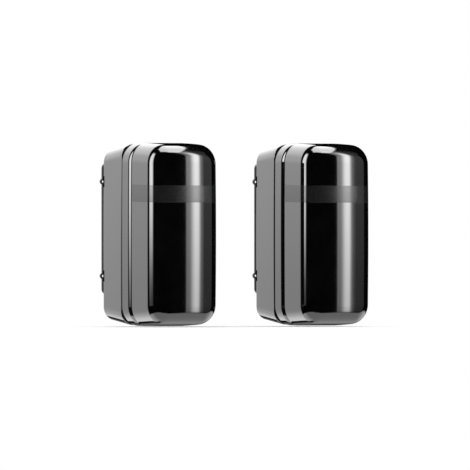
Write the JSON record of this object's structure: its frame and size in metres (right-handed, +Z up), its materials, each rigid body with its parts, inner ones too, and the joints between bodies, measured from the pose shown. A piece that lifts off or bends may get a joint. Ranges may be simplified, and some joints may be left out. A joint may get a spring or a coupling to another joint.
{
  "type": "infrared beam barrier",
  "caption": "Infrared beam barrier: an upright transmitter and a matching receiver with gloss black covers, rear cases, wall plates, and optics inside that pan and tilt.",
  "frame": {"origin": "on the floor under the middle of the pair's box", "axes": "+Z up, the covers' fronts towards -Y, the wall plates towards +Y, the transmitter on the -X side"},
  "size_m": [0.259, 0.089, 0.1762],
  "materials": {
    "cover_gloss": "mirror gloss, smoked black",
    "case_black": "gloss black",
    "band_satin": "satin, bare",
    "seal_rubber": "matte",
    "plate_steel": "satin dark",
    "screw_steel": "zinc plated",
    "circuit_board": "solder mask",
    "terminal_green": "moulded",
    "switch_red": "moulded",
    "switch_black": "moulded",
    "led_red": "clear red",
    "plunger_white": "moulded",
    "can_grey": "moulded",
    "chassis_grey": "satin",
    "frame_white": "moulded",
    "dial_orange": "moulded",
    "optics_black": "moulded matte black",
    "lens_clear": "clear moulded",
    "sight_mirror": "polished",
    "chip_dark": "dark clear epoxy"
  },
  "bodies": {
    "housing": {"tx_mounting_plate": "plate_steel", "tx_rear_case": "case_black", "tx_case_seal": "seal_rubber", "tx_front_cover": "cover_gloss", "tx_trim_band": "band_satin", "tx_cover_screw": "screw_steel", "tx_screw_washer": "seal_rubber", "tx_plate_screws": "screw_steel", "tx_cable_grommet": "seal_rubber", "tx_main_board": "circuit_board", "tx_board_screws": "screw_steel", "tx_terminal_block": "terminal_green", "tx_terminal_screws": "screw_steel", "tx_mode_switch": "switch_red", "tx_status_led": "led_red", "tx_tamper_switch": "switch_black", "tx_driver_coil": "can_grey", "tx_chassis": "chassis_grey", "tx_chassis_screws": "screw_steel", "rx_mounting_plate": "plate_steel", "rx_rear_case": "case_black", "rx_case_seal": "seal_rubber", "rx_front_cover": "cover_gloss", "rx_trim_band": "band_satin", "rx_cover_screw": "screw_steel", "rx_screw_washer": "seal_rubber", "rx_plate_screws": "screw_steel", "rx_cable_grommet": "seal_rubber", "rx_main_board": "circuit_board", "rx_board_screws": "screw_steel", "rx_terminal_block": "terminal_green", "rx_terminal_screws": "screw_steel", "rx_mode_switch": "switch_red", "rx_status_led": "led_red", "rx_tamper_switch": "switch_black", "rx_alarm_relay": "can_grey", "rx_chassis": "chassis_grey", "rx_chassis_screws": "screw_steel"},
    "tx_plunger": {"tx_tamper_plunger": "plunger_white"},
    "tx_pan": {"tx_pan_frame": "frame_white", "tx_pan_dial": "dial_orange"},
    "tx_optics": {"tx_optics_housing": "optics_black", "tx_tilt_pivots": "screw_steel", "tx_upper_lens": "lens_clear", "tx_lower_lens": "lens_clear", "tx_sight_mirrors": "sight_mirror", "tx_emitter_boards": "circuit_board", "tx_emitters": "chip_dark"},
    "rx_plunger": {"rx_tamper_plunger": "plunger_white"},
    "rx_pan": {"rx_pan_frame": "frame_white", "rx_pan_dial": "dial_orange"},
    "rx_optics": {"rx_optics_housing": "optics_black", "rx_tilt_pivots": "screw_steel", "rx_upper_lens": "lens_clear", "rx_lower_lens": "lens_clear", "rx_sight_mirrors": "sight_mirror", "rx_detector_boards": "circuit_board", "rx_detectors": "chip_dark"}
  },
  "joints": [
    {"name": "tx_pan_turn", "type": "hinge", "parent": "housing", "child": "tx_pan", "pos_m": [-0.089, -0.0055, 0.104], "axis": [0, 0, 1], "range_deg": [-90, 90]},
    {"name": "tx_optics_tilt", "type": "hinge", "parent": "tx_pan", "child": "tx_optics", "pos_m": [-0.089, -0.0055, 0.104], "axis": [1, 0, 0], "range_deg": [-8, 8]},
    {"name": "tx_tamper_press", "type": "slide", "parent": "housing", "child": "tx_plunger", "axis": [0, 1, 0], "range_m": [0, 0.001], "stiffness_N_per_m": 150},
    {"name": "rx_pan_turn", "type": "hinge", "parent": "housing", "child": "rx_pan", "pos_m": [0.089, -0.0055, 0.104], "axis": [0, 0, 1], "range_deg": [-90, 90]},
    {"name": "rx_optics_tilt", "type": "hinge", "parent": "rx_pan", "child": "rx_optics", "pos_m": [0.089, -0.0055, 0.104], "axis": [1, 0, 0], "range_deg": [-8, 8]},
    {"name": "rx_tamper_press", "type": "slide", "parent": "housing", "child": "rx_plunger", "axis": [0, 1, 0], "range_m": [0, 0.001], "stiffness_N_per_m": 150}
  ]
}
